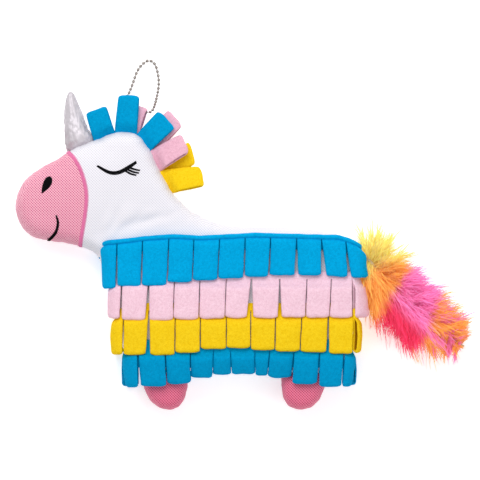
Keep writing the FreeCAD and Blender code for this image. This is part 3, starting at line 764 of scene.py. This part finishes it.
def fold_profile(drop, tuck, gap, crown, radius):
    """A loop's centre line in (down, height): down the outer ply, round the fold and back up."""
    low = FACE_TOP + 0.7
    if tuck:
        # The root lies flat under the row above and rises once it is clear of that row's hem.
        outer = [(0, low + 0.6), (tuck * 0.6, low + 0.9), (tuck + 1.2, low + 2.0)]
        outer += [(tuck + 3.6, crown - 0.7), (tuck + 6.5, crown + 0.1)]
    else:
        outer = [(0, low + 1.3), (0.4, crown - 1.2), (2.0, crown + 0.1), (6, crown + 0.35)]
        outer += [(drop * 0.55, crown)]
    outer += [(drop - 4.5, crown - 0.1), (drop - radius - 0.6, crown - 0.12)]
    fold = [(drop - radius + sin(a) * radius, crown - 0.15 - radius + cos(a) * radius)
            for a in np.linspace(0.2, pi - 0.2, 6)]
    inner = [(drop - 5, crown - gap - 0.1), (drop * 0.55, crown - gap)]
    inner += [(max(tuck, 3), low + 0.7), (0.4, low)]
    line = smooth_line([(d, h, 0) for d, h in outer + fold + inner], 34)
    return [(p.x, p.y) for p in line]


def droop(row, hem, share):
    """How far cloth sinks past the belly, at a share of the way down to its hem."""
    return (row["droop"] + 0.4 * (hem + 117)) * share ** 2


def loop_grid(number, index, front):
    """The mid-surface of one fleece loop, as rows of points from its root round and back."""
    row = ROWS[number]
    slits = row["slits"]
    last = len(slits)
    hem = row["hems"][index]
    seed = number * 17.3 + index * 3.7 + (0 if front else 50)
    (left_top, left_hem), (right_top, right_hem) = row["ends"]
    if index > 0:
        left_top, left_hem, opened = slits[index - 1]
        left_top += GAP / 2
        left_hem += max(GAP, opened) / 2
    if index < last:
        right_top, right_hem, opened = slits[index]
        right_top -= GAP / 2
        right_hem -= max(GAP, opened) / 2
    side = -1 if index == 0 else 1 if index == last else 0
    turn = radians(row["turn"][0 if side < 0 else 1])
    wide_gap = 1.6 if side and turn > 0.5 else 0
    puff = 1.0 if front else 0.1
    crown = LOOPS_TOP - PLY / 2 + puff - (0.5 if side else 0)
    gap = 2.3 + puff * 0.5 + wide_gap
    slip = gap * sin(turn) if side else 0
    middle = (left_top + right_top) / 2
    root = row_tops(number, middle)[1]
    drop = root - hem
    roll = 0.14 * unevenness(index * 1.7, number * 3.1, 5.0)
    grid = []
    for down, height in fold_profile(drop, row["tuck"], gap, crown, gap / 2):
        share = down / drop
        free = min(1, share * 2.5)
        left = left_top + (left_hem - left_top) * share
        right = right_top + (right_hem - right_top) * share
        outer = clamp((height - (crown - gap)) / gap)
        line = []
        for j in range(11):
            u = j / 5 - 1
            edge = 0.5 * unevenness(down * 0.12, seed, u)
            x = (left + right) / 2 + u * (right - left) / 2 + edge * abs(u) * share
            sewn = row_tops(number, x)[1]
            y = sewn - down + (root - sewn) * share
            corner = max(0, abs(u) - 0.6) / 0.4
            y += (0.8 * unevenness(x * 0.13, seed, 4.0) + 1.3 * corner ** 2) * share ** 3
            wobble = unevenness(x * 0.09, down * 0.07, seed)
            crease = unevenness(x * 0.22 + down * 0.1, down * 0.05, seed + 8)
            z = height + (0.75 * wobble + 0.3 * crease + roll * u * 9) * free * (0.4 + 0.6 * outer)
            z -= (0.5 * u * u + 0.8 * abs(u) ** 5) * outer * free
            if front and "droop" in row:
                z -= droop(row, hem, share)
            if side:
                x, z = wrapped(x, z, crown, side, left, right, turn, slip)
            line.append(Vector((x, y, z)))
        grid.append(line)
    return grid


def wrapped(x, z, crown, side, left, right, turn, slip):
    """Lay an end loop over the side of the body, starting at an angle to the face."""
    plan = right - left
    inner = left if side > 0 else right
    run = abs(x - inner) / plan * FULL_LOOP
    plan -= slip
    inner += side * slip
    # The curve that gives the loop its narrower look from above, found by a few halvings.
    low, high = 0.0, 2.2
    for _ in range(24):
        curl = (low + high) / 2
        reach = FULL_LOOP * (sin(turn + curl) - sin(turn)) / curl
        low, high = (curl, high) if reach > plan else (low, curl)
    radius = FULL_LOOP / curl
    angle = turn + run / radius
    out = radius * (sin(angle) - sin(turn))
    fall = radius * (cos(turn) - cos(angle))
    over = z - crown
    return inner + side * (out + over * sin(angle)), crown - fall + over * cos(angle)


def header_band(number, front=True):
    """The uncut edge of a row: rolled over and stitched on row 1, flat under the row above on the rest."""
    row = ROWS[number]
    (left, _), (right, _) = row["ends"]
    base = FACE_TOP + 0.7
    if number == 1:
        shape = ((-row["uncut"], base + 1.1), (-10, base + 1.0), (-3, base + 1.4), (-2.1, base + 3.2),
                 (-1.4, base + 4.6), (-0.3, base + 5.0), (0.5, base + 4.6), (0.8, base + 3.2),
                 (0.6, base + 1.6), (0.5, base - 0.4), (0.3, base - 2.4), (0.0, base - 4.4))
        left -= 1.6
        right = 92
    else:
        shape = [(0, base + 0.2), (-1.5, base + 0.6), (-5, base + 0.8)]
        shape += [(-5 - (row["uncut"] - 5) * share, base + 0.9) for share in (0.3, 0.55, 0.8, 1)]
        left += 9
        right -= 9
    loop_places = [left] + [slit[0] for slit in row["slits"]] + [right]
    loop_middles = [(a + b) / 2 for a, b in zip(loop_places, loop_places[1:])]
    band = []
    across = 110
    for k, (rise, height) in enumerate(shape):
        line = []
        for j in range(across):
            x = left + (right - left) * j / (across - 1)
            start = row_tops(number, x)[0]
            stitch_dip = 0.22 * cos(x * 2 * pi / 3.1) if number == 1 and 3 < k < 7 else 0
            rough = unevenness(x * 0.13, k * 0.3, 7.0)
            fall = 10 * max(0, (-97 - x) / 12.5, (x - 79) / 16) ** 2 if number == 1 else 0
            # The edge that turns down over the shoulder reaches lower where the rump falls away.
            if number == 1 and k > 7:
                fall += 3 * max(0, (x - 70) / 22)
            if rise < -9:
                rise = -10 + (rise + 10) * (1 if -96 < x < 79 else 0.1)
            if front and "droop" in row:
                hem = float(np.interp(x, loop_middles, row["hems"]))
                share = max(0.0, (-3 - rise) / (start - 3 - hem))
                fall = droop(row, hem, share) + 0.9 * share
            line.append(Vector((x, start + rise + 0.3 * rough, height - fall + 0.3 * rough + stitch_dip)))
        band.append(line)
    return band


def add_grid(points, faces, rows):
    start = len(points)
    wide = len(rows[0])
    for row in rows:
        points.extend(row)
    for i in range(len(rows) - 1):
        for j in range(wide - 1):
            a = start + i * wide + j
            faces.append((a, a + 1, a + wide + 1, a + wide))


def thicken(piece):
    """Give a sheet its thickness, with soft rounded edges."""
    solid = piece.modifiers.new("ply", "SOLIDIFY")
    solid.thickness = PLY * MM
    solid.offset = 0
    finer = piece.modifiers.new("finer", "SUBSURF")
    finer.levels = 1
    finer.render_levels = 1
    return bake_modifiers(piece)


def turned_over(grids):
    """The same cloth on the other face, pressed flat where the toy lies on it."""
    lowest = PLY / 2 + 0.05
    return [[[Vector((p.x, p.y, max(lowest, 2 * MID - p.z))) for p in row] for row in grid]
            for grid in grids]


def fleece_piece(name, grids, material):
    points, faces = [], []
    for grid in grids:
        add_grid(points, faces, grid)
    return thicken(mesh_piece(name, points, faces, material))


def ply_length(number, indexes):
    """The mean length of cloth in a row's loops, down and back again."""
    row = ROWS[number]
    drops = [row_tops(number, 0)[1] - row["hems"][i] for i in indexes]
    return 2 * sum(drops) / len(drops)


def make_fringe():
    for number, row in ROWS.items():
        cloth = row["cloth"]
        # The painted-shade copy of the blue fleece shares the blue fleece's slot.
        slot = "blue_fleece" if "blue" in cloth else cloth
        last = len(row["slits"])
        moving = [loop_grid(number, i, True) for i in range(1, last)] + [header_band(number)]
        piece = fleece_piece(f"fringe_row_{number}", moving, cloth)
        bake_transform(piece)
        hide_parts(f"front_row_{number}_loops", f"front_row_{number}_header")
        ply_length(number, range(1, last)) + row["uncut"] + 6
        outermost = [loop_grid(number, i, True) for i in (0, last)]
        ends = fleece_piece(f"fringe_row_{number}_ends", outermost, cloth)
        settle(ends, "toy", slot, f"front_row_{number}_end_loops")
        ply_length(number, (0, last))
        under = [loop_grid(number, i, False) for i in range(last + 1)] + [header_band(number, False)]
        back = fleece_piece(f"fringe_back_row_{number}", turned_over(under), cloth)
        settle(back, "toy", slot, f"back_row_{number}")
        ply_length(number, range(last + 1)) + row["uncut"] + 6


# Mane loops by the corners they show: left and right of the root at the crest seam, then right and
# left of the tip, and how far each is rolled about its own length to show its open side, in degrees.
MANE = {
    "mane_blue_1": ((-115.3, 73.2), (-98.8, 80.0), (-105.2, 99.6), (-121.4, 94.2), -13),
    "mane_blue_2": ((-99, 80.5), (-81.6, 79.2), (-79.6, 107.4), (-96, 108.2), -12),
    "mane_blue_3": ((-80.6, 79.6), (-71.0, 65.2), (-52.2, 82.8), (-65, 96.2), -8),
    "mane_pink_front": ((-70.8, 66.2), (-63.0, 49.4), (-41.2, 63.4), (-47.4, 78.4), -22),
    "mane_yellow_front": ((-63.4, 50.6), (-53.6, 32.2), (-29.2, 37.2), (-32.8, 53.4), -20),
    "mane_pink_chain_loop": ((-92, 81.4), (-79.2, 79.6), (-73.2, 98.2), (-88, 101.4), -16),
    "mane_pink_back": ((-78.2, 76), (-68, 62), (-46.4, 84.2), (-57.6, 97.6), -18),
    "mane_yellow_back": ((-66.2, 58), (-57.6, 40), (-36.4, 55.4), (-41.4, 72.5), -6),
}
# The blue mane loops wear the painted-shade copy of the blue fleece.
MANE_CLOTH = {"blue": "dark_blue_fleece", "pink": "rose_fleece", "yellow": "yellow_fleece"}


def mane_grid(name):
    """A hairpin of fleece: both plies pinched into the seam, open along its two cut sides."""
    *corners, roll = MANE[name]
    root_left, root_right, tip_right, tip_left = map(flat, corners)
    low, high = node_box(name)
    middle = (low.z + high.z) / 2
    front = middle > MID
    half = (high.z - low.z) / 2 - PLY / 2 + (0.7 if front else 0.2)
    base = (root_left + root_right) / 2
    tip = (tip_left + tip_right) / 2
    way = (tip - base).normalized()
    side = Vector((-way.y, way.x, 0))
    length = (tip - base).length + 0.8
    sewn = 4.5
    reach = [-sewn, 0, 3.5, length * 0.35, length * 0.7, length - half]
    swell = [0.12, 0.3, 0.8, 1.05, 1.12, 1.0]
    outer = [Vector((r, half * s, 0)) for r, s in zip(reach, swell)]
    fold = [Vector((length - half + sin(a) * half, cos(a) * half, 0))
            for a in np.linspace(0.35, pi - 0.35, 6)]
    inner = [Vector((r, -half * s, 0)) for r, s in zip(reversed(reach), reversed(swell))]
    line = smooth_line(outer + fold + inner, 38)
    seed = base.x * 0.37
    rows = []
    for point in line:
        share = point.x / length
        free = clamp((point.x + 1) / 7)
        turn = radians(roll) * free
        centre = base.lerp(tip, share) + way * (0.8 * share)
        left = root_left.lerp(tip_left, share) - centre
        right = root_right.lerp(tip_right, share) - centre
        row = []
        for j in range(11):
            u = j / 5 - 1
            across = left.lerp(right, (u + 1) / 2)
            sideways = across.dot(side)
            lag = across.dot(way)
            height = point.y - (0.5 * u * u + 0.4 * abs(u) ** 5) * np.sign(point.y) * free
            height += 0.7 * unevenness(sideways * 0.1, point.x * 0.08, seed) * free
            lag += 0.6 * unevenness(sideways * 0.15, seed, 3.0) * share - 1.4 * abs(u) ** 6 * share
            across_turned = sideways * cos(turn) - height * sin(turn)
            height_turned = sideways * sin(turn) + height * cos(turn)
            root_z = MID + (0.9 if front else -0.9)
            level = root_z + (middle - root_z) * free
            rise = abs(sin(turn)) * 8.5 * free if front else 0
            place = centre + side * across_turned + way * lag
            row.append(Vector((place.x, place.y, level + height_turned + rise)))
        rows.append(row)
    return rows


def make_mane():
    for name, (*corners, _) in MANE.items():
        root_left, root_right, tip_right, tip_left = map(flat, corners)
        colour = name.split("_")[1]
        piece = fleece_piece(name + "_loop", [mane_grid(name)], MANE_CLOTH[colour])
        if name in frame["bodies"]:
            root = (root_left + root_right) / 2
            root.z = node_box(name)[1].z
            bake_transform(piece)
        else:
            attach(piece, "toy")
        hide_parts(name)


# ---- Horn ----

def make_horn():
    """A stuffed lame cone: gathered at its base, creased along its length, with a side seam."""
    # Up the horn: where its middle is, its half width, its half depth and its tilt in degrees.
    stations = [(-125.2, 67.4, 10.2, 2.6, 19), (-125.9, 70.4, 10.6, 5.6, 19), (-126.8, 74.2, 10.5, 7.4, 17),
                (-128.5, 80, 9.2, 6.8, 12), (-130.5, 90, 7.4, 5.6, 8), (-132.2, 100, 5.2, 4.2, 5),
                (-132.8, 106, 3.5, 2.9, 3), (-133, 109.2, 2.1, 1.8, 1), (-133.1, 110.8, 0.8, 0.7, 0)]
    line = smooth_line(map(flat, stations), 46)
    sizes = resample(stations, 46)
    points, faces = [], []
    around = 56
    for i, (centre, (half_width, half_deep, tilt)) in enumerate(zip(line, sizes)):
        share = i / 45
        turn = radians(tilt)
        for j in range(around):
            a = 2 * pi * j / around
            crease = unevenness(cos(a) * 2.2, sin(a) * 2.2, share * 4)
            fine = unevenness(cos(a) * 5, sin(a) * 5, share * 15 + 3)
            gather = sin(a * 13 + 2 * crease) * exp(-share * 9)
            grow = 1 + 0.08 * crease + 0.075 * fine + 0.06 * gather
            seam = 0.9 * exp(-(min(a, 2 * pi - a) / 0.12) ** 2)
            seam += 0.9 * exp(-((a - pi) / 0.12) ** 2)
            x = half_width * cos(a) * grow
            z = half_deep * sin(a) * grow
            x += seam * 0.5 * np.sign(cos(a))
            points.append(Vector((centre.x + x * cos(turn), centre.y + x * sin(turn), MID + z)))
    for i in range(45):
        for j in range(around):
            a = i * around + j
            b = i * around + (j + 1) % around
            faces.append((a, b, b + around, a + around))
    faces.append(tuple(range(around - 1, -1, -1)))
    faces.append(tuple(45 * around + j for j in range(around)))
    horn = mesh_piece("horn_cloth", points, faces, "silver_lame")
    settle(horn, "toy", "silver_lame", "horn_cover", "horn_filling")


def resample(stations, count):
    """The widths, depths and tilts of the stations, spread as evenly as their line is."""
    places = [flat(s) for s in stations]
    lengths = np.cumsum([0] + [(b - a).length for a, b in zip(places, places[1:])])
    wanted = np.linspace(0, lengths[-1], count)
    columns = [np.interp(wanted, lengths, [s[k] for s in stations]) for k in (2, 3, 4)]
    return list(zip(*columns))


# ---- Feather tail ----

TAIL = [(94.5, -15.9), (115, -38.6), (139.5, -62.5), (171.5, -87.2)]
TAIL_BODIES = ("root", "middle", "tip")
TAIL_WAY = Vector((0.69, -0.72, 0))
TAIL_SIDE = Vector((0.72, 0.69, 0))
DYE_YELLOW = Vector((1.0, 0.78, 0.20))
DYE_ORANGE = Vector((1.0, 0.40, 0.08))
DYE_PINK = Vector((1.0, 0.23, 0.54))
DYE_RED = Vector((0.86, 0.04, 0.13))


def dye_at(place, jitter, rose):
    """The boa is dyed in zones from root to tip, and their edges run together."""
    offset = Vector((place.x - TAIL[0][0], place.y - TAIL[0][1], 0))
    along = offset.dot(TAIL_WAY) + jitter
    across = offset.dot(TAIL_SIDE)
    yellow = along - 0.45 * across
    zone = along + 0.42 * across
    first = along + 0.25 * across
    warm = DYE_YELLOW.lerp(DYE_ORANGE, clamp((yellow - 7) / 14))
    hot = DYE_PINK.lerp(DYE_RED, clamp((-4 - across) / 10))
    late = DYE_ORANGE.lerp(DYE_PINK, 0.9 if rose else 0.0)
    late = late.lerp(DYE_PINK, clamp((zone - 103) / 8) * (0.3 + 0.7 * rose))
    colour = warm.lerp(hot, clamp((first - 34) / 5))
    return colour.lerp(late, clamp((zone - 70) / 6))


def make_feathers():
    rng = random.Random(11)
    for number, part in enumerate(TAIL_BODIES):
        start = Vector((*TAIL[number], MID))
        end = Vector((*TAIL[number + 1], MID))
        along = (end - start).normalized()
        side = Vector((0, 0, 1)).cross(along)
        points, faces, dyes_and_shade = [], [], []
        plumes = (175, 160, 150)[number]
        for n in range(plumes):
            share = (n + rng.random()) / plumes * (0.92 if part == "tip" else 1)
            angle = rng.uniform(0, 2 * pi)
            base = start.lerp(end, share)
            plume(points, faces, dyes_and_shade, base, along, side, angle, number + share, rng)
        piece = mesh_piece(f"tail_feathers_{part}", points, faces, "feather")
        # The colour attribute holds each strand's dye together with its painted shade.
        colours = piece.data.color_attributes.new("dye_and_shade", "FLOAT_COLOR", "POINT")
        rgba = np.ones((len(points), 4))
        rgba[:, :3] = dyes_and_shade
        colours.data.foreach_set("color", rgba.ravel())
        slot = {"root": "yellow_feather", "middle": "pink_feather", "tip": "orange_feather"}[part]
        settle(piece, "tail_" + part, slot, f"tail_plume_{part}")


def plume(points, faces, dyes_and_shade, base, along, side, angle, station, rng):
    """One marabou plume: a bundle of long silky strands that leave the boa together and fan out."""
    up = Vector((0, 0, 1))
    out = side * cos(angle) + up * sin(angle) * 0.8
    places = (0, 0.15, 0.4, 1, 1.6, 2.1, 2.6, 3)
    if cos(angle) > 0:
        reach = np.interp(station, places, (25, 30, 30, 27, 26, 25, 21, 11))
        sweep = np.interp(station, places, (-0.85, -0.35, 0.1, 0.42, 0.55, 0.55, 0.4, 0.15))
    else:
        reach = np.interp(station, places, (28, 29, 31, 31, 30, 28, 19, 11))
        sweep = np.interp(station, places, (0.3, 0.75, 0.95, 1.05, 1.0, 0.75, 0.45, 0.15))
    reach *= rng.uniform(0.72, 1.04) * (0.8 + 0.2 * abs(cos(angle)))
    sweep += rng.uniform(-0.13, 0.13)
    jitter = rng.uniform(-3, 3)
    rose = rng.random() < 0.3
    bow = Vector((rng.uniform(-1, 1), rng.uniform(-1, 1), rng.uniform(-0.6, 0.6))) * 0.14
    strands = 36
    for _ in range(strands):
        fan = Vector((rng.gauss(0, 1), rng.gauss(0, 1), rng.gauss(0, 1))) * 0.13
        start_at = rng.uniform(0.0, 0.42)
        end_at = min(1.06, start_at + rng.uniform(0.4, 0.7))
        curl = Vector((rng.gauss(0, 1), rng.gauss(0, 1), rng.gauss(0, 1))) * 0.05
        width = rng.uniform(0.28, 0.5)
        shade_of = rng.uniform(0.78, 1.2)
        steps = 5
        begin = len(points)
        for s in range(steps + 1):
            q = s / steps
            t = start_at + (end_at - start_at) * q
            way = out * t + along * (sweep * t * t) + bow * t * t + fan * t * q + curl * sin(q * 5)
            centre = base + way * reach
            centre.z = max(centre.z, 0.7)
            heading = (out + along * (2 * sweep * t)).normalized()
            broad = heading.cross(up + fan * 3).normalized()
            half = broad * (width * (1 - 0.75 * q ** 2) * min(1, 0.4 + 2 * q))
            points.append(centre - half)
            points.append(centre + half)
            # Painted shade: each strand is darkened near the boa's core and lightened towards its tip, on
            # top of its dye.
            deep = 0.9 + 0.22 * min(1, t)
            colour = dye_at(centre, jitter, rose) * (shade_of * deep)
            dyes_and_shade.extend([[min(1, c) for c in colour]] * 2)
        for s in range(steps):
            a = begin + s * 2
            faces.append((a, a + 1, a + 3, a + 2))


def make_twine():
    """The boa's core and its binding keep their CAD shape, and get their real finish."""
    for part in TAIL_BODIES:
        dress(nodes[f"tail_twine_{part}"].data, "twine")
    dress(nodes["tail_binding"].data, "white_thread")


def make_chain():
    """The chain keeps its CAD shape too."""
    for name in ("chain_balls", "chain_links", "chain_clasp"):
        dress(nodes[name].data, "nickel")
        shade_smooth(nodes[name].data)


# ---- Put it together ----

make_camera()
make_stage()
skin = make_body()
make_foot("front_foot")
make_foot("hind_foot")
make_embroidery(skin)
make_edging(skin)
make_fringe()
make_mane()
make_horn()
make_feathers()
make_twine()
make_chain()
